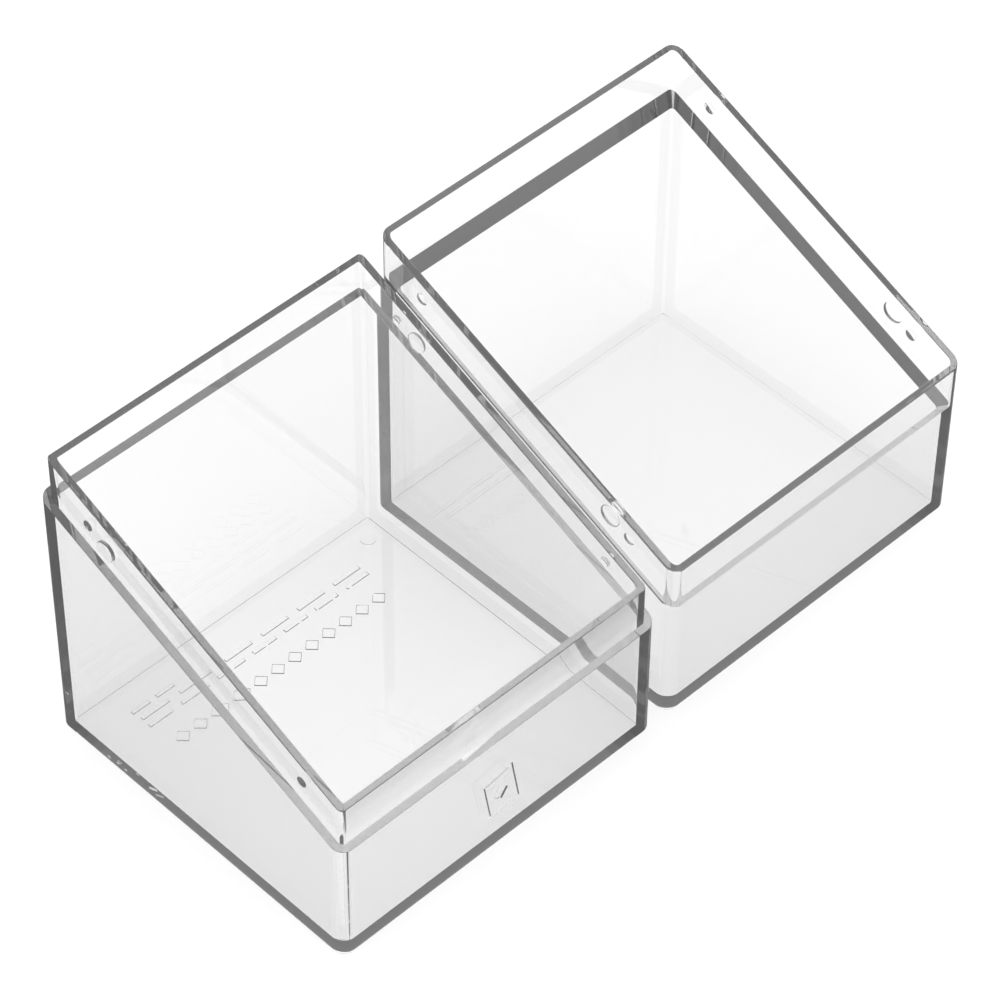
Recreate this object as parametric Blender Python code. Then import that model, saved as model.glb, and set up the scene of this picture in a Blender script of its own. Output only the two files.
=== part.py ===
"""Clear two-piece deck box for trading cards, standing open: the base shell and the lid shell side by side.

Each shell is one thin-walled moulding with an open top.  Its back wall is tall and its front wall is short,
so the rim slopes.  The base carries a collar that rises above its shoulder.  The lid, turned over, takes the
collar in a thin-walled socket until its rim rests on that shoulder.  Snap studs on the collar's side faces
click into dimples in the socket.

Frame: metres, +Z up, the front (short walls) faces -Y, the lid stands at +X of the base.  The origin is on
the ground, in the middle of the pair.
"""

import math

import bmesh
import bpy
from mathutils import Matrix, Vector

MM = 0.001

# Driving dimensions of both shells
WIDTH = 79.0 * MM            # outside, along X
DEPTH = 78.0 * MM            # outside, along Y
FLOOR = 1.7 * MM
GAP = 3.7 * MM               # between the two shells as they stand
CORNER_RADIUS = 2.65 * MM    # vertical corners, outside
INNER_RADIUS = 0.8 * MM      # vertical corners, inside
FOOT_RADIUS = 0.3 * MM       # bottom edge, outside
FLOOR_FILLET = 0.3 * MM      # between the floor and the walls, inside
EDGE_RADIUS = 0.2 * MM       # rim and shoulder edges

# How far in from the outside each face lies: (on the left and right sides, at the front and back)
OUTSIDE = (0.0, 0.0)
WALL = (3.2 * MM, 3.2 * MM)
COLLAR_INSIDE = (3.2 * MM, 2.5 * MM)
SHOULDER = (1.65 * MM, 1.35 * MM)
RIM = (1.5 * MM, 1.2 * MM)

# The line where the shells part slopes up to the back, and the collar's rim a little more: rise per depth
PARTING_SLOPE = 0.4176
COLLAR_SLOPE = 0.4286

# Heights at the front face: the base's shoulder and collar, the lid's rim and the ledge in its socket
SHOULDER_FRONT = 28.7 * MM
COLLAR_FRONT = 37.7 * MM
LID_FRONT = 38.3 * MM
LEDGE_FRONT = 27.4 * MM
SOCKET_TAPER = 1.9 * MM      # height over which the socket wall thickens to the full wall
COLLAR_FLARE = 9.0 * MM      # height over which the collar's inside opens out to its rim

# Snap studs on the base's collar and the dimples that take them in the lid's socket
BIG_STUD_Y = 61.1 * MM       # from the front face
BIG_STUD_RISE = 4.3 * MM     # above the shoulder
BIG_STUD_RADIUS = 2.2 * MM
BIG_STUD_HEIGHT = 0.6 * MM
SMALL_STUD_YS = (11.3 * MM, 66.0 * MM)
SMALL_STUD_RISE = 4.8 * MM
SMALL_STUD_RADIUS = 1.15 * MM
SMALL_STUD_HEIGHT = 0.6 * MM
DIMPLE_CLEARANCE = 0.2 * MM
DIMPLE_DEPTH = 0.5 * MM

# Plain ornaments sunk into the base
EMBLEM_HEIGHT = 13.8 * MM    # centre of the card emblem on the front wall
EMBLEM_SHIFT = -0.5 * MM     # from the middle of the front wall
CARD_SIZE = (8.0 * MM, 11.0 * MM)
CARD_LINE = 0.9 * MM
CARD_PIP = 2.4 * MM          # side of the lozenge in the card
CARD_SINK = 0.35 * MM
CARD_LEAN = math.radians(-10)
MARK_SINK = 0.3 * MM
PIP_COUNT = 12               # lozenges in the row on the underside
PIP_SIZE = 3.4 * MM
DASH_HEIGHT = 0.9 * MM

# Mark that the moulding gate leaves on the base's floor
GATE_RADIUS = 1.6 * MM
GATE_RELIEF = 0.2 * MM

CORNER_SEGMENTS = 8
FILLET_SEGMENTS = 3
EDGE_SEGMENTS = 2
ROUND_SEGMENTS = 32
TALL = 0.12                  # taller than either shell
BASE_CENTRE_X = -(WIDTH + GAP) / 2
LID_CENTRE_X = (WIDTH + GAP) / 2
FRONT_Y = -DEPTH / 2


def clear_scene():
    """Removes whatever the start-up file holds."""
    for obj in list(bpy.data.objects):
        bpy.data.objects.remove(obj, do_unlink=True)


def new_collection(name):
    """Makes a collection and links it to the scene."""
    collection = bpy.data.collections.new(name)
    bpy.context.scene.collection.children.link(collection)
    return collection


def primitive_to(collection, name):
    """Names the object that the last primitive operator made and moves it to a collection."""
    obj = bpy.context.active_object
    obj.name = name
    obj.data.name = name
    for old in list(obj.users_collection):
        old.objects.unlink(obj)
    collection.objects.link(obj)
    return obj


def bevel_edges(mesh, wanted, radius, segments):
    """Rounds the edges that `wanted` picks out of a mesh."""
    bm = bmesh.new()
    bm.from_mesh(mesh)
    edges = [edge for edge in bm.edges if wanted(*(vert.co for vert in edge.verts))]
    bmesh.ops.bevel(bm, geom=edges, offset=radius, segments=segments, profile=0.5,
                    affect="EDGES", clamp_overlap=True)
    bmesh.ops.remove_doubles(bm, verts=bm.verts, dist=1e-6)
    bm.to_mesh(mesh)
    bm.free()


def rounded_block(collection, name, centre_x, inset, low, high, corner, foot):
    """A block inset from a shell's outside, with rounded vertical corners and a rounded bottom edge."""
    bpy.ops.mesh.primitive_cube_add(size=1.0)
    obj = primitive_to(collection, name)
    size = Vector((WIDTH - 2 * inset[0], DEPTH - 2 * inset[1], high - low))
    obj.data.transform(Matrix.Translation((centre_x, 0, (low + high) / 2)) @ Matrix.Diagonal((*size, 1)))
    bevel_edges(obj.data, lambda a, b: abs(a.z - b.z) > size.z / 2, corner, CORNER_SEGMENTS)
    if foot:
        bevel_edges(obj.data, lambda a, b: max(a.z, b.z) < low + 1e-6, foot, FILLET_SEGMENTS)
    return obj


def space_above(collection, name, centre_x, front_height, slope=PARTING_SLOPE):
    """A cutter that fills the space above the sloping plane through `front_height` at the front face."""
    bpy.ops.mesh.primitive_cube_add(size=1.0)
    obj = primitive_to(collection, name)
    side = 3 * DEPTH
    corner = Matrix.Translation((centre_x, FRONT_Y, front_height)) @ Matrix.Rotation(math.atan(slope), 4, "X")
    obj.data.transform(corner @ Matrix.Translation((0, 0, side / 2)) @ Matrix.Scale(side, 4))
    return obj


def cylinder_along(collection, name, place, axis, radius, length):
    """A round bar centred on `place`, along `axis`."""
    bpy.ops.mesh.primitive_cylinder_add(vertices=ROUND_SEGMENTS, radius=radius, depth=length)
    obj = primitive_to(collection, name)
    turn = Vector((0, 0, 1)).rotation_difference(Vector(axis)).to_matrix().to_4x4()
    obj.data.transform(Matrix.Translation(place) @ turn)
    return obj


def ball(collection, name, place, radius):
    """A small sphere, for a domed stud or its dimple."""
    bpy.ops.mesh.primitive_uv_sphere_add(segments=ROUND_SEGMENTS // 2, ring_count=ROUND_SEGMENTS // 4,
                                         radius=radius)
    obj = primitive_to(collection, name)
    obj.data.transform(Matrix.Translation(place) @ Matrix.Rotation(math.radians(90), 4, "Y"))
    return obj


def combine(target, tool, operation):
    """Joins a tool to the target or cuts it away, with the exact solver, then removes the tool."""
    tool.hide_render = True
    tool.display_type = "WIRE"
    modifier = target.modifiers.new(tool.name, "BOOLEAN")
    modifier.operation = operation
    modifier.solver = "EXACT"
    modifier.object = tool
    bpy.context.view_layer.update()
    evaluated = target.evaluated_get(bpy.context.evaluated_depsgraph_get())
    mesh = bpy.data.meshes.new_from_object(evaluated)
    target.modifiers.clear()
    old = target.data
    target.data = mesh
    mesh.name = target.name
    bpy.data.meshes.remove(old)
    bpy.data.objects.remove(tool, do_unlink=True)


def plane_height(front_height, y, slope=PARTING_SLOPE):
    """Height at y of the sloping plane through `front_height` at the front face."""
    return front_height + slope * (y - FRONT_Y)


def round_rim(obj, front_height, slope=PARTING_SLOPE):
    """Rounds the edges that lie in the sloping plane through `front_height` at the front face."""
    def on_plane(co):
        return abs(co.z - plane_height(front_height, co.y, slope)) < 2e-6
    bevel_edges(obj.data, lambda a, b: on_plane(a) and on_plane(b), EDGE_RADIUS, EDGE_SEGMENTS)


def side_faces(centre_x, inset):
    """The two side faces at `inset` from the outside: (x, outward direction)."""
    half = WIDTH / 2 - inset[0]
    return ((centre_x - half, -1), (centre_x + half, 1))


def stud_places(reference_front, y_sign, rise_sign):
    """Where the snap studs sit along a side face: (kind, y, z).  The lid's places mirror the base's."""
    places = []
    for kind, from_front, rise in (
        ("big", BIG_STUD_Y, BIG_STUD_RISE),
        ("small", SMALL_STUD_YS[0], SMALL_STUD_RISE),
        ("small", SMALL_STUD_YS[1], SMALL_STUD_RISE),
    ):
        y = y_sign * (FRONT_Y + from_front)
        places.append((kind, y, plane_height(reference_front, y) + rise_sign * rise))
    return places


def dome_radius(rim_radius, height):
    """Radius of the sphere whose cap has the given rim radius and height."""
    return (rim_radius ** 2 + height ** 2) / (2 * height)


def add_studs(base, tools):
    """Raises the snap studs on the collar's two side faces."""
    for x, outward in side_faces(BASE_CENTRE_X, SHOULDER):
        for kind, y, z in stud_places(SHOULDER_FRONT, 1, 1):
            if kind == "big":
                length = 2 * BIG_STUD_HEIGHT
                stud = cylinder_along(tools, "big_stud", (x, y, z), (1, 0, 0), BIG_STUD_RADIUS, length)
            else:
                radius = dome_radius(SMALL_STUD_RADIUS, SMALL_STUD_HEIGHT)
                centre = x + outward * (SMALL_STUD_HEIGHT - radius)
                stud = ball(tools, "small_stud", (centre, y, z), radius)
            combine(base, stud, "UNION")


def cut_dimples(lid, tools):
    """Cuts the dimples for the studs into the socket's two side faces."""
    for x, outward in side_faces(LID_CENTRE_X, RIM):
        for kind, y, z in stud_places(LID_FRONT, -1, -1):
            if kind == "big":
                radius = BIG_STUD_RADIUS + DIMPLE_CLEARANCE
                dimple = cylinder_along(tools, "big_dimple", (x, y, z), (1, 0, 0), radius, 2 * DIMPLE_DEPTH)
            else:
                radius = dome_radius(SMALL_STUD_RADIUS + DIMPLE_CLEARANCE, DIMPLE_DEPTH)
                centre = x + outward * (DIMPLE_DEPTH - radius)
                dimple = ball(tools, "small_dimple", (centre, y, z), radius)
            combine(lid, dimple, "DIFFERENCE")


def slab(tools, name, place, turn, size):
    """A flat block of the given size, turned by `turn` and centred on `place`."""
    bpy.ops.mesh.primitive_cube_add(size=1.0)
    obj = primitive_to(tools, name)
    obj.data.transform(Matrix.Translation(place) @ turn @ Matrix.Diagonal((*size, 1)))
    return obj


def engrave_emblem(base, tools):
    """Engraves the outline of a leaning blank card, with one lozenge in it, in the base's front wall."""
    place = (BASE_CENTRE_X + EMBLEM_SHIFT, FRONT_Y, EMBLEM_HEIGHT)
    lean = Matrix.Rotation(CARD_LEAN, 4, "Y")
    card = slab(tools, "card", place, lean, (CARD_SIZE[0], 2 * CARD_SINK, CARD_SIZE[1]))
    inside = (CARD_SIZE[0] - 2 * CARD_LINE, 6 * CARD_SINK, CARD_SIZE[1] - 2 * CARD_LINE)
    combine(card, slab(tools, "card_inside", place, lean, inside), "DIFFERENCE")
    combine(base, card, "DIFFERENCE")
    point_up = lean @ Matrix.Rotation(math.radians(45), 4, "Y")
    pip = slab(tools, "card_pip", place, point_up, (CARD_PIP, 2 * CARD_SINK, CARD_PIP))
    combine(base, pip, "DIFFERENCE")


def engrave_pips(base, tools):
    """Engraves a row of plain lozenges in the underside, near the back wall."""
    turn = Matrix.Rotation(math.radians(45), 4, "Z")
    side = PIP_SIZE / math.sqrt(2)
    for index in range(PIP_COUNT):
        x = BASE_CENTRE_X + (index - (PIP_COUNT - 1) / 2) * 1.28 * PIP_SIZE
        place = (x, FRONT_Y + 58.4 * MM, 0)
        combine(base, slab(tools, "pip", place, turn, (side, side, 2 * MARK_SINK)), "DIFFERENCE")


def engrave_dashes(base, tools):
    """Engraves three rows of fine dashes behind the lozenges."""
    rows = ((64.6 * MM, 56.0 * MM, 7), (66.9 * MM, 56.0 * MM, 6), (69.2 * MM, 12.0 * MM, 2))
    for from_front, length, count in rows:
        pitch = length / count
        for index in range(count):
            x = BASE_CENTRE_X - 28.0 * MM + (index + 0.5) * pitch
            size = (0.72 * pitch, DASH_HEIGHT, 2 * MARK_SINK)
            dash = slab(tools, "dash", (x, FRONT_Y + from_front, 0), Matrix.Identity(4), size)
            combine(base, dash, "DIFFERENCE")


def add_gate_mark(base, tools):
    """Leaves the moulding gate's small raised disc on the base's floor, in the back right corner."""
    place = (BASE_CENTRE_X + WIDTH / 2 - 7.1 * MM, FRONT_Y + 70.4 * MM, FLOOR)
    combine(base, cylinder_along(tools, "gate", place, (0, 0, 1), GATE_RADIUS, 2 * GATE_RELIEF), "UNION")


def open_block(shells, tools, name, centre_x, top_front):
    """The outside of a shell: a rounded block with its sloping top cut and that edge rounded."""
    shell = rounded_block(shells, name, centre_x, OUTSIDE, 0, TALL, CORNER_RADIUS, FOOT_RADIUS)
    combine(shell, space_above(tools, "top_cut", centre_x, top_front), "DIFFERENCE")
    round_rim(shell, top_front)
    return shell


def cut_cavity(shell, tools, centre_x):
    """Cuts the inside of a shell, down to its floor, with a fillet round the floor."""
    cavity = rounded_block(tools, "cavity", centre_x, WALL, FLOOR, TALL + MM, INNER_RADIUS, FLOOR_FILLET)
    combine(shell, cavity, "DIFFERENCE")


def tapered_cutter(tools, name, centre_x, inset, corner, plane_front, taper):
    """Clears the space above a sloping plane out to `inset`, and tapers in to the full wall below it."""
    cutter = rounded_block(tools, name, centre_x, inset, -TALL, TALL + MM, corner, 0)
    above = space_above(tools, name + "_above", centre_x, plane_front, COLLAR_SLOPE)
    combine(cutter, above, "INTERSECT")
    bm = bmesh.new()
    bm.from_mesh(cutter.data)
    bottom = [face for face in bm.faces
              if all(abs(v.co.z - plane_height(plane_front, v.co.y, COLLAR_SLOPE)) < 1e-5
                     for v in face.verts)]
    grown = bmesh.ops.extrude_face_region(bm, geom=bottom)
    bmesh.ops.delete(bm, geom=bottom, context="FACES")
    half = (WIDTH / 2, DEPTH / 2)
    shrink = [(half[i] - WALL[i]) / (half[i] - inset[i]) for i in (0, 1)]
    for vert in (item for item in grown["geom"] if isinstance(item, bmesh.types.BMVert)):
        vert.co.x = centre_x + (vert.co.x - centre_x) * shrink[0]
        vert.co.y = vert.co.y * shrink[1]
        vert.co.z = plane_height(plane_front, vert.co.y, COLLAR_SLOPE) - taper
    bm.to_mesh(cutter.data)
    bm.free()
    return cutter


def make_base(shells, tools):
    """The base shell: body up to the shoulder, collar above it, cavity, studs and ornaments."""
    base = open_block(shells, tools, "base_shell", BASE_CENTRE_X, SHOULDER_FRONT)
    collar = rounded_block(tools, "collar", BASE_CENTRE_X, SHOULDER, SHOULDER_FRONT / 2, TALL,
                           CORNER_RADIUS - SHOULDER[0], 0)
    collar_top = space_above(tools, "collar_cut", BASE_CENTRE_X, COLLAR_FRONT, COLLAR_SLOPE)
    combine(collar, collar_top, "DIFFERENCE")
    round_rim(collar, COLLAR_FRONT, COLLAR_SLOPE)
    combine(base, collar, "UNION")
    cut_cavity(base, tools, BASE_CENTRE_X)
    flare = tapered_cutter(tools, "flare", BASE_CENTRE_X, COLLAR_INSIDE, INNER_RADIUS, COLLAR_FRONT,
                           COLLAR_FLARE)
    combine(base, flare, "DIFFERENCE")
    add_studs(base, tools)
    engrave_emblem(base, tools)
    engrave_pips(base, tools)
    engrave_dashes(base, tools)
    add_gate_mark(base, tools)
    return base


def make_lid(shells, tools):
    """The lid shell: plain block, cavity, tapered socket and dimples."""
    lid = open_block(shells, tools, "lid_shell", LID_CENTRE_X, LID_FRONT)
    cut_cavity(lid, tools, LID_CENTRE_X)
    socket = tapered_cutter(tools, "socket", LID_CENTRE_X, RIM, CORNER_RADIUS - RIM[0], LEDGE_FRONT,
                            SOCKET_TAPER)
    combine(lid, socket, "DIFFERENCE")
    cut_dimples(lid, tools)
    return lid


def clear_plastic(name):
    """Colourless, glossy, clear moulded plastic."""
    material = bpy.data.materials.new(name)
    material.use_nodes = True
    shader = material.node_tree.nodes["Principled BSDF"]
    shader.inputs["Base Color"].default_value = (0.93, 0.94, 0.95, 1)
    shader.inputs["Roughness"].default_value = 0.04
    shader.inputs["Metallic"].default_value = 0.0
    shader.inputs["IOR"].default_value = 1.49
    shader.inputs["Transmission Weight"].default_value = 1.0
    return material


def finish_shell(obj):
    """Gives a shell its material and smooth shading with crisp edges."""
    obj.data.materials.clear()
    obj.data.materials.append(clear_plastic(obj.name + "_clear"))
    obj.data.shade_smooth()
    obj.data.set_sharp_from_angle(angle=math.radians(35))


def main():
    clear_scene()
    shells = new_collection("card_deck_box")
    tools = new_collection("cutters")
    for shell in (make_base(shells, tools), make_lid(shells, tools)):
        finish_shell(shell)


main()
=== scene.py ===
"""Clear two-piece card deck box, standing open on a pale studio floor.

Both shells are lofted from rounded-rectangle rings, so their fillets and rims are smooth enough to refract
cleanly, and they replace the CAD shells one for one.  Lengths are in millimetres until a mesh is scaled.
"""

import math

import bmesh
import bpy
from mathutils import Matrix, Vector


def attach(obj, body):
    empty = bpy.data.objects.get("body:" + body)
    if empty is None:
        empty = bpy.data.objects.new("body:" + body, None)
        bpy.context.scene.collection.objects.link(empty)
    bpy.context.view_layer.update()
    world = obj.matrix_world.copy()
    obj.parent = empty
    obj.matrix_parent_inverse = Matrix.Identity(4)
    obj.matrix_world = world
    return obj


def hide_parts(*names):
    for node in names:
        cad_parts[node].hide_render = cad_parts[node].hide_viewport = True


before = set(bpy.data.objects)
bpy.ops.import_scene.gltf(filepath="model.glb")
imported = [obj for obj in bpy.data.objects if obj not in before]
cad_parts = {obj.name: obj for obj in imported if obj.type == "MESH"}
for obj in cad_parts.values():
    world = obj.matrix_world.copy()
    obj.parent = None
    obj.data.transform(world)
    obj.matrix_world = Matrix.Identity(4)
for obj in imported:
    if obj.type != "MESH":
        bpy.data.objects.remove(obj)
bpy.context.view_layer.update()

# Outside of both shells
WIDTH, DEPTH, FLOOR, GAP = 79.0, 78.0, 1.7, 3.7
BASE_X, LID_X = -(WIDTH + GAP) / 2, (WIDTH + GAP) / 2
FRONT, BOTTOM_EDGE, FLOOR_FILLET = -DEPTH / 2, 0.25, 0.04
SHOULDER_EDGE, COLLAR_EDGE, LID_OUTER_EDGE, LID_INNER_EDGE = 0.12, 0.2, 0.3, 0.15

# Corner radii, along x and along y
CORNER, BASE_INNER_CORNER, LID_INNER_CORNER = (2.65, 2.65), (0.3, 1.4), (0.8, 0.8)

# Base: shoulder and collar; lid: rim, socket and its taper.  The collar's rim and the socket's ledge
# slope a little more steeply than the line where the shells part.
PARTING_SLOPE, COLLAR_SLOPE = 0.4176, 0.4286
SHOULDER_FRONT, COLLAR_FRONT, COLLAR_FLARE = 28.7, 37.7, 9.0
LID_FRONT, LEDGE_FRONT, LEDGE_TAPER = 38.3, 27.4, 1.9

# How far in from the outside a face lies, on the left and right sides and at the front and back
OUTSIDE, WALL, COLLAR_INSIDE = (0, 0), (3.2, 3.2), (3.2, 2.5)
SHOULDER, RIM = (1.65, 1.35), (1.5, 1.2)

# Snap studs: (distance from the front face, rise above the shoulder, radius, height)
BIG_STUD = (61.1, 4.3, 2.2, 0.6)
SMALL_STUDS = ((11.3, 4.8, 1.15, 0.6), (66.0, 4.8, 1.15, 0.6))
STUD_EDGE, DOME_ROOT = 0.2, 0.4
DIMPLE_CLEARANCE, DIMPLE_DEPTH, DIMPLE_EDGE = 0.2, 0.5, 0.25

# Emblem on the front wall: the outline of a leaning blank card with one lozenge in it
EMBLEM_SHIFT, EMBLEM_HEIGHT, EMBLEM_DEPTH = -0.5, 13.8, 0.35
CARD_SIZE, CARD_LINE, CARD_LEAN, LOZENGE_SIDE = (8.0, 11.0), 0.9, math.radians(-10), 2.8
EMBLEM_DRAFT, ISLAND_DRAFT = 0.12, -0.3

# Marks on the underside: a row of lozenges, and rows of dashes as (distance from the front face, length,
# number of dashes) from their shared left end
MARK_DEPTH = 0.3
ROW_COUNT, ROW_FROM_FRONT, ROW_ACROSS, ROW_PITCH, ROW_DRAFT = 12, 58.4, 3.4, 1.28 * 3.4, 0.1
DASH_ROWS = ((64.6, 56.0, 7), (66.9, 56.0, 6), (69.2, 12.0, 2))
DASH_LEFT, DASH_WIDTH, DASH_FILL, DASH_DRAFT = -28.0, 0.9, 0.72, 0.08

# Gate mark on the base's floor
GATE_FROM_RIGHT, GATE_FROM_FRONT = 7.1, 70.4
GATE_RADIUS, GATE_HEIGHT, GATE_EDGE = 1.6, 0.2, 0.12

# Steps round a corner, an edge, a button's edge, a dome's rise, a large turned tool and a small one
CORNER_STEPS, FILLET_STEPS, BUTTON_STEPS, DOME_STEPS, LARGE_TURN, SMALL_TURN = 14, 6, 5, 8, 40, 28

# A ray that has met more surfaces than this, whether it turned there or passed straight through, ends in an
# even painted glow: painted light and shade that stands in for light lost in the walls and sets the thick
# edges' tone, and both values are chosen for the thick edges' look.
TRAPPED_DEPTH, PAINTED_GLOW_LEVEL = 8, 0.3
MOST_BOUNCES = 80

# How much light the plastic absorbs per metre
SMOKE = 14.5


# ---------------------------------------------------------------- shells

def level(height):
    """A horizontal plane, as a height for each y."""
    return lambda y: height


def sloped(front_height, slope=PARTING_SLOPE):
    """A plane rising to the back from front_height at the front face, as a height for each y."""
    return lambda y: front_height + slope * (y - FRONT)


def ring(centre_x, inset, further, corner, plane, offset):
    """Points round a rounded rectangle, further in than an inset with given corners, offset above a plane."""
    radius_x, radius_y = corner[0] - further, corner[1] - further
    half_x = WIDTH / 2 - inset[0] - corner[0]
    half_y = DEPTH / 2 - inset[1] - corner[1]
    points = []
    for index, (sx, sy) in enumerate(((1, 1), (-1, 1), (-1, -1), (1, -1))):
        for step in range(CORNER_STEPS + 1):
            angle = math.pi / 2 * (index + step / CORNER_STEPS)
            x = sx * half_x + radius_x * math.cos(angle)
            y = sy * half_y + radius_y * math.sin(angle)
            points.append((centre_x + x, y, plane(y) + offset))
    return points


def arc(steps=FILLET_STEPS):
    """Angles of a quarter turn, ends included."""
    return [math.pi / 2 * step / steps for step in range(steps + 1)]


def corner_at(inset):
    """The corner of a face that follows the outside's corner at an inset."""
    return CORNER[0] - inset[0], CORNER[1] - inset[1]


def bottom_rings(centre_x):
    """The rounded edge round the underside, from below up."""
    rings = []
    for a in arc():
        further = BOTTOM_EDGE * (1 - math.sin(a))
        rise = BOTTOM_EDGE * (1 - math.cos(a))
        rings.append(ring(centre_x, OUTSIDE, further, CORNER, level(rise), 0))
    return rings


def outward_edge(centre_x, inset, plane, edge, corner):
    """A wall's top outer edge, rounded, from the wall to the top face."""
    rings = []
    for a in arc():
        further = edge * (1 - math.cos(a))
        rings.append(ring(centre_x, inset, further, corner, plane, -edge * (1 - math.sin(a))))
    return rings


def inward_edge(centre_x, inset, plane, edge, corner):
    """A wall's top inner edge, rounded, from the top face to the inner wall."""
    rings = []
    for a in arc():
        nearer = edge * (1 - math.sin(a))
        rings.append(ring(centre_x, inset, -nearer, corner, plane, -edge * (1 - math.cos(a))))
    return rings


def floor_rings(centre_x, corner):
    """The inner wall's foot and the small fillet onto the floor."""
    rings = []
    for a in arc():
        further = FLOOR_FILLET * (1 - math.cos(a))
        rise = FLOOR + FLOOR_FILLET * (1 - math.sin(a))
        rings.append(ring(centre_x, WALL, further, corner, level(rise), 0))
    return rings


def base_rings():
    """Rings of the base from the underside, over the shoulder and the collar's rim, down to its floor."""
    collar = corner_at(SHOULDER)
    shoulder, top = sloped(SHOULDER_FRONT), sloped(COLLAR_FRONT, COLLAR_SLOPE)
    rings = bottom_rings(BASE_X)
    rings += outward_edge(BASE_X, OUTSIDE, shoulder, SHOULDER_EDGE, CORNER)
    rings += [ring(BASE_X, SHOULDER, 0, collar, shoulder, 0)]
    rings += outward_edge(BASE_X, SHOULDER, top, COLLAR_EDGE, collar)
    rings += inward_edge(BASE_X, COLLAR_INSIDE, top, COLLAR_EDGE, BASE_INNER_CORNER)
    rings += [ring(BASE_X, WALL, 0, BASE_INNER_CORNER, top, -COLLAR_FLARE)]
    return rings + floor_rings(BASE_X, BASE_INNER_CORNER)


def lid_rings():
    """Rings of the lid from its flat top, which it stands on, over the rim and the ledge, to its floor."""
    socket = corner_at(RIM)
    top, ledge = sloped(LID_FRONT), sloped(LEDGE_FRONT, COLLAR_SLOPE)
    rings = bottom_rings(LID_X)
    rings += outward_edge(LID_X, OUTSIDE, top, LID_OUTER_EDGE, CORNER)
    rings += inward_edge(LID_X, RIM, top, LID_INNER_EDGE, socket)
    rings += [ring(LID_X, RIM, 0, socket, ledge, 0)]
    rings += [ring(LID_X, WALL, 0, LID_INNER_CORNER, ledge, -LEDGE_TAPER)]
    return rings + floor_rings(LID_X, LID_INNER_CORNER)


def object_of(bm, name):
    """Turns a bmesh into an object in the scene."""
    mesh = bpy.data.meshes.new(name)
    bm.to_mesh(mesh)
    bm.free()
    obj = bpy.data.objects.new(name, mesh)
    bpy.context.scene.collection.objects.link(obj)
    return obj


def loft(name, rings):
    """A closed mesh through the rings, with a flat face across the first and the last."""
    bm = bmesh.new()
    rows = [[bm.verts.new(p) for p in points] for points in rings]
    count = len(rows[0])
    for low, high in zip(rows, rows[1:]):
        for i in range(count):
            j = (i + 1) % count
            bm.faces.new((low[i], low[j], high[j], high[i]))
    bm.faces.new(list(reversed(rows[0])))
    bm.faces.new(rows[-1])
    bmesh.ops.remove_doubles(bm, verts=bm.verts, dist=1e-4)
    bmesh.ops.recalc_face_normals(bm, faces=bm.faces)
    return object_of(bm, name)


# ---------------------------------------------------------------- tools for studs, dimples and marks

def combine(target, tool, operation):
    """Joins a tool to the target or cuts it away, and removes the tool."""
    modifier = target.modifiers.new("cut", "BOOLEAN")
    modifier.operation = operation
    modifier.solver = "EXACT"
    modifier.object = tool
    bpy.context.view_layer.update()
    mesh = bpy.data.meshes.new_from_object(target.evaluated_get(bpy.context.evaluated_depsgraph_get()))
    target.modifiers.clear()
    target.data = mesh
    bpy.data.objects.remove(tool, do_unlink=True)


def circle(bm, radius, height, steps):
    """Vertices round the axis, or the one vertex on it."""
    if radius < 1e-6:
        return [bm.verts.new((0, 0, height))]
    angles = [2 * math.pi * i / steps for i in range(steps)]
    return [bm.verts.new((radius * math.cos(a), radius * math.sin(a), height)) for a in angles]


def turned(name, profile, place, outward, steps):
    """A closed turned tool along x: profile gives (radius, height) from its base on the axis to its tip."""
    bm = bmesh.new()
    rows = [circle(bm, radius, height, steps) for radius, height in profile]
    for low, high in zip(rows, rows[1:]):
        for i in range(steps):
            j = (i + 1) % steps
            corners = [low[i % len(low)], low[j % len(low)], high[j % len(high)], high[i % len(high)]]
            bm.faces.new(list(dict.fromkeys(corners)))
    bmesh.ops.recalc_face_normals(bm, faces=bm.faces)
    turn = Vector((0, 0, 1)).rotation_difference(Vector((outward, 0, 0))).to_matrix().to_4x4()
    bm.transform(Matrix.Translation(place) @ turn)
    return object_of(bm, name)


def button_profile(radius, height, edge):
    """A flat-topped round button with a rounded rim, and a root as deep as the button is high."""
    rim = [(radius - edge * (1 - math.cos(a)), height - edge * (1 - math.sin(a))) for a in arc(BUTTON_STEPS)]
    return [(0, -height), (radius, -height)] + rim + [(0, height)]


def dome_profile(radius, height):
    """A shallow dome with a short root below the wall's face."""
    sphere = (radius ** 2 + height ** 2) / (2 * height)
    reach = math.asin(min(radius / sphere, 1.0))
    angles = [reach * (1 - step / DOME_STEPS) for step in range(DOME_STEPS)]
    rise = [(sphere * math.sin(a), sphere * math.cos(a) - sphere + height) for a in angles]
    return [(0, -DOME_ROOT), (rise[0][0], -DOME_ROOT)] + rise + [(0, height)]


def drafted_slab(place, turn, size, depth, draft):
    """A flat tool whose mouth, on the surface at z = 0 of its own frame, is wider than its bottom."""
    bm = bmesh.new()
    bmesh.ops.create_cube(bm, size=1.0)
    for vert in bm.verts:
        grow = draft if vert.co.z > 0 else -draft
        vert.co.x *= size[0] + 2 * grow
        vert.co.y *= size[1] + 2 * grow
        vert.co.z *= 2 * depth
    bm.transform(Matrix.Translation(place) @ turn)
    return object_of(bm, "mark")


# ---------------------------------------------------------------- studs, dimples and marks

def side_places(centre_x, inset):
    """The two side faces at an inset: (x, outward direction)."""
    half = WIDTH / 2 - inset[0]
    return ((centre_x - half, -1), (centre_x + half, 1))


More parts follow.
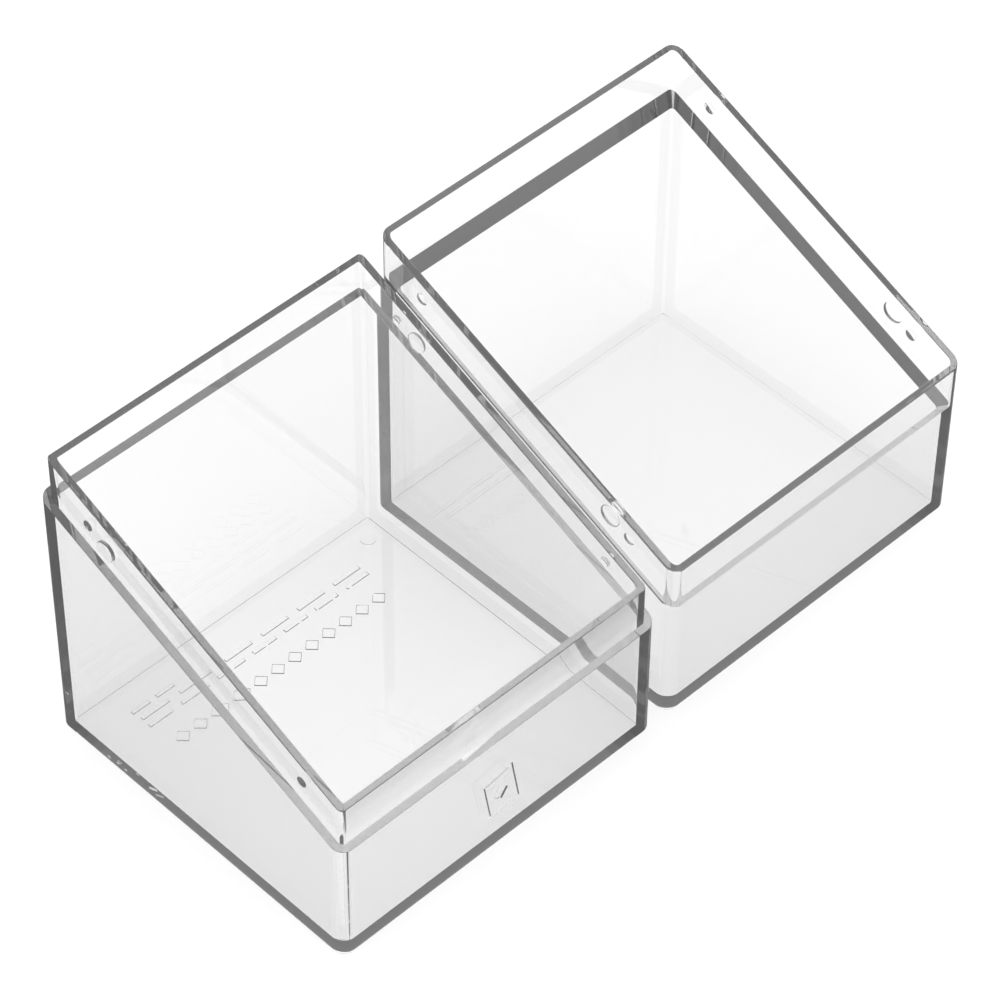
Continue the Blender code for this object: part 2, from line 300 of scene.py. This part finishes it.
def add_studs(base):
    """Raises the studs on the collar's side faces."""
    plane = sloped(SHOULDER_FRONT)
    for x, outward in side_places(BASE_X, SHOULDER):
        from_front, rise, radius, height = BIG_STUD
        y = FRONT + from_front
        profile = button_profile(radius, height, STUD_EDGE)
        combine(base, turned("stud", profile, (x, y, plane(y) + rise), outward, LARGE_TURN), "UNION")
        for from_front, rise, radius, height in SMALL_STUDS:
            y = FRONT + from_front
            profile = dome_profile(radius, height)
            combine(base, turned("stud", profile, (x, y, plane(y) + rise), outward, SMALL_TURN), "UNION")


def cut_dimples(lid):
    """Cuts the dimples that take the studs, mirrored front to back, into the socket's side faces."""
    plane = sloped(LID_FRONT)
    for x, outward in side_places(LID_X, RIM):
        from_front, rise, radius, _ = BIG_STUD
        y = -(FRONT + from_front)
        profile = button_profile(radius + DIMPLE_CLEARANCE, DIMPLE_DEPTH, DIMPLE_EDGE)
        tool = turned("dimple", profile, (x, y, plane(y) - rise), outward, LARGE_TURN)
        combine(lid, tool, "DIFFERENCE")
        for from_front, rise, radius, _ in SMALL_STUDS:
            y = -(FRONT + from_front)
            profile = dome_profile(radius + DIMPLE_CLEARANCE, DIMPLE_DEPTH)
            tool = turned("dimple", profile, (x, y, plane(y) - rise), outward, SMALL_TURN)
            combine(lid, tool, "DIFFERENCE")


def engrave_emblem(base):
    """Sinks the outline of a leaning blank card, with one lozenge in it, into the front wall."""
    face_front = Matrix.Rotation(CARD_LEAN, 4, "Y") @ Matrix.Rotation(math.pi / 2, 4, "X")
    place = (BASE_X + EMBLEM_SHIFT, FRONT, EMBLEM_HEIGHT)
    card = drafted_slab(place, face_front, CARD_SIZE, EMBLEM_DEPTH, EMBLEM_DRAFT)
    island_size = [side - 2 * CARD_LINE for side in CARD_SIZE]
    island = drafted_slab(place, face_front, island_size, 3 * EMBLEM_DEPTH, ISLAND_DRAFT)
    combine(card, island, "DIFFERENCE")
    combine(base, card, "DIFFERENCE")
    point_up = face_front @ Matrix.Rotation(math.pi / 4, 4, "Z")
    lozenge = drafted_slab(place, point_up, (LOZENGE_SIDE, LOZENGE_SIDE), EMBLEM_DEPTH, EMBLEM_DRAFT)
    combine(base, lozenge, "DIFFERENCE")


def engrave_underside(base):
    """Sinks a row of lozenges and three rows of dashes into the underside."""
    down = Matrix.Rotation(math.pi, 4, "X")
    point_forward = down @ Matrix.Rotation(math.pi / 4, 4, "Z")
    side = ROW_ACROSS / math.sqrt(2)
    for index in range(ROW_COUNT):
        place = (BASE_X + (index - (ROW_COUNT - 1) / 2) * ROW_PITCH, FRONT + ROW_FROM_FRONT, 0)
        combine(base, drafted_slab(place, point_forward, (side, side), MARK_DEPTH, ROW_DRAFT), "DIFFERENCE")
    for from_front, length, count in DASH_ROWS:
        pitch = length / count
        size = (DASH_FILL * pitch, DASH_WIDTH)
        for index in range(count):
            place = (BASE_X + DASH_LEFT + (index + 0.5) * pitch, FRONT + from_front, 0)
            combine(base, drafted_slab(place, down, size, MARK_DEPTH, DASH_DRAFT), "DIFFERENCE")


def add_gate_mark(base):
    """The small raised disc that the moulding gate leaves on the floor."""
    place = (BASE_X + WIDTH / 2 - GATE_FROM_RIGHT, FRONT + GATE_FROM_FRONT, FLOOR)
    profile = button_profile(GATE_RADIUS, GATE_HEIGHT, GATE_EDGE)
    tool = turned("gate", profile, (0, 0, 0), 1, LARGE_TURN)
    tool.data.transform(Matrix.Rotation(-math.pi / 2, 4, "Y"))
    tool.data.transform(Matrix.Translation(place))
    combine(base, tool, "UNION")


def finish_shell(obj, material, body, node):
    """Scales a shell to metres, gives it clean normals, and puts it in place of its CAD node."""
    obj.data.transform(Matrix.Scale(0.001, 4))
    obj.data.materials.clear()
    obj.data.materials.append(material)
    obj.data.shade_smooth()
    obj.data.set_sharp_from_angle(angle=math.radians(20))
    normals = obj.modifiers.new("weighted_normals", "WEIGHTED_NORMAL")
    normals.weight = 100
    normals.keep_sharp = True
    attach(obj, body)
    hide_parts(node)


# ---------------------------------------------------------------- materials

def add_node(tree, kind, values):
    """A new node with the given values on its sockets."""
    node = tree.nodes.new(kind)
    for socket, value in values.items():
        node.inputs[socket].default_value = value
    return node


def mixed(tree, factor, first, second):
    """Mixes two shaders."""
    mix = tree.nodes.new("ShaderNodeMixShader")
    tree.links.new(factor, mix.inputs["Fac"])
    tree.links.new(first, mix.inputs[1])
    tree.links.new(second, mix.inputs[2])
    return mix.outputs["Shader"]


def handling_marks(tree):
    """A roughness that varies finely, like the marks that handling leaves."""
    where = tree.nodes.new("ShaderNodeTexCoord")
    marks = add_node(tree, "ShaderNodeTexNoise", {"Scale": 420.0, "Detail": 3.0})
    gloss = add_node(tree, "ShaderNodeMapRange",
                     {"From Min": 0.45, "From Max": 0.85, "To Min": 0.02, "To Max": 0.04})
    tree.links.new(where.outputs["Object"], marks.inputs["Vector"])
    tree.links.new(marks.outputs["Fac"], gloss.inputs["Value"])
    return gloss.outputs["Result"]


def painted_trapped_glow(tree, path, surface):
    """The surface, or a painted even glow in place of the light lost in the walls, once a ray has met many
    surfaces.
    """
    trapped = add_node(tree, "ShaderNodeMath", {1: TRAPPED_DEPTH})
    trapped.operation = "GREATER_THAN"
    tree.links.new(path.outputs["Ray Depth"], trapped.inputs[0])
    # Painted glow: a flat emission that stands in for the light and shade of rays trapped in the walls
    painted_glow = add_node(tree, "ShaderNodeEmission", {"Strength": PAINTED_GLOW_LEVEL})
    return mixed(tree, trapped.outputs["Value"], surface, painted_glow.outputs["Emission"])


def lamp_side(tree, path, surface):
    """The surface, or plain transparency for the light that falls on the floor."""
    clear = add_node(tree, "ShaderNodeBsdfTransparent", {"Color": (0.975, 0.975, 0.975, 1)})
    either = tree.nodes.new("ShaderNodeMath")
    either.operation = "MAXIMUM"
    tree.links.new(path.outputs["Is Shadow Ray"], either.inputs[0])
    tree.links.new(path.outputs["Is Diffuse Ray"], either.inputs[1])
    return mixed(tree, either.outputs["Value"], surface, clear.outputs["BSDF"])


def clear_plastic(name):
    """Colourless moulded plastic: glossy, faintly smoky through its thickness, with fine handling marks."""
    material = bpy.data.materials.new(name)
    material.use_nodes = True
    tree = material.node_tree
    shader, output = tree.nodes["Principled BSDF"], tree.nodes["Material Output"]
    shader.inputs["Base Color"].default_value = (0.99, 0.99, 0.99, 1)
    shader.inputs["IOR"].default_value = 1.5
    shader.inputs["Transmission Weight"].default_value = 1.0
    tree.links.new(handling_marks(tree), shader.inputs["Roughness"])
    path = tree.nodes.new("ShaderNodeLightPath")
    # The plastic carries a painted glow where rays are trapped in its walls
    surface = lamp_side(tree, path, painted_trapped_glow(tree, path, shader.outputs["BSDF"]))
    tree.links.new(surface, output.inputs["Surface"])
    # A mid grey absorbs at half its density
    smoke = add_node(tree, "ShaderNodeVolumeAbsorption", {"Color": (0.5, 0.5, 0.5, 1), "Density": 2 * SMOKE})
    tree.links.new(smoke.outputs["Volume"], output.inputs["Volume"])
    return material


def studio_floor():
    """A wide plain pale floor just below the object, not mirrored in the plastic's outer faces."""
    bm = bmesh.new()
    bmesh.ops.create_grid(bm, x_segments=1, y_segments=1, size=6.0)
    floor = object_of(bm, "studio_floor")
    floor.location.z = -0.0002
    material = bpy.data.materials.new("studio_floor")
    material.use_nodes = True
    shader = material.node_tree.nodes["Principled BSDF"]
    shader.inputs["Base Color"].default_value = (0.9, 0.9, 0.9, 1)
    shader.inputs["Roughness"].default_value = 1.0
    shader.inputs["Specular IOR Level"].default_value = 0.0
    floor.data.materials.append(material)
    floor.visible_glossy = False


# ---------------------------------------------------------------- light and camera

def studio_light():
    """Even white light from above, dimmer from the sides and from below."""
    world = bpy.data.worlds.new("studio")
    bpy.context.scene.world = world
    world.use_nodes = True
    tree = world.node_tree
    where = tree.nodes.new("ShaderNodeTexCoord")
    split = tree.nodes.new("ShaderNodeSeparateXYZ")
    upward = add_node(tree, "ShaderNodeMapRange", {"From Min": -1.0, "From Max": 1.0})
    ramp = tree.nodes.new("ShaderNodeValToRGB")
    below, above = ramp.color_ramp.elements
    below.position = 0.35
    below.color = (0.2, 0.2, 0.2, 1)
    above.position = 0.65
    above.color = (1, 1, 1, 1)
    tree.links.new(where.outputs["Generated"], split.inputs["Vector"])
    tree.links.new(split.outputs["Z"], upward.inputs["Value"])
    tree.links.new(upward.outputs["Result"], ramp.inputs["Fac"])
    tree.links.new(ramp.outputs["Color"], tree.nodes["Background"].inputs["Color"])
    tree.nodes["Background"].inputs["Strength"].default_value = 1.25


def add_camera():
    """The camera, above the front left, looking down at both shells."""
    azimuth, elevation, roll = math.radians(-44.694), math.radians(46.606), math.radians(0.566)
    place = Matrix.Translation((-0.38579, -0.38578, 0.60718))
    back = Vector((math.sin(azimuth) * math.cos(elevation), -math.cos(azimuth) * math.cos(elevation),
                   math.sin(elevation)))
    level_right = (-back).cross(Vector((0, 0, 1))).normalized()
    level_up = level_right.cross(-back)
    right = level_right * math.cos(roll) + level_up * math.sin(roll)
    up = level_up * math.cos(roll) - level_right * math.sin(roll)
    data = bpy.data.cameras.new("camera")
    data.sensor_width = 36.0
    data.lens = 152.98
    data.clip_start = 0.01
    data.clip_end = 20.0
    camera = bpy.data.objects.new("camera", data)
    camera.matrix_world = place @ Matrix((right, up, back)).transposed().to_4x4()
    bpy.context.scene.collection.objects.link(camera)
    bpy.context.scene.camera = camera


def show_clearly():
    """Plain tones, and enough bounces for light to find its way through the walls."""
    scene = bpy.context.scene
    scene.view_settings.view_transform = "Standard"
    scene.cycles.max_bounces = MOST_BOUNCES
    scene.cycles.glossy_bounces = MOST_BOUNCES
    scene.cycles.transmission_bounces = MOST_BOUNCES


def main():
    """Makes the two shells and the studio round them."""
    base = loft("base_shell_clear", base_rings())
    add_studs(base)
    engrave_emblem(base)
    engrave_underside(base)
    add_gate_mark(base)
    lid = loft("lid_shell_clear", lid_rings())
    cut_dimples(lid)
    finish_shell(base, clear_plastic("base_plastic"), "base", "base_shell")
    finish_shell(lid, clear_plastic("lid_plastic"), "lid", "lid_shell")
    studio_floor()
    studio_light()
    add_camera()
    show_clearly()


main()
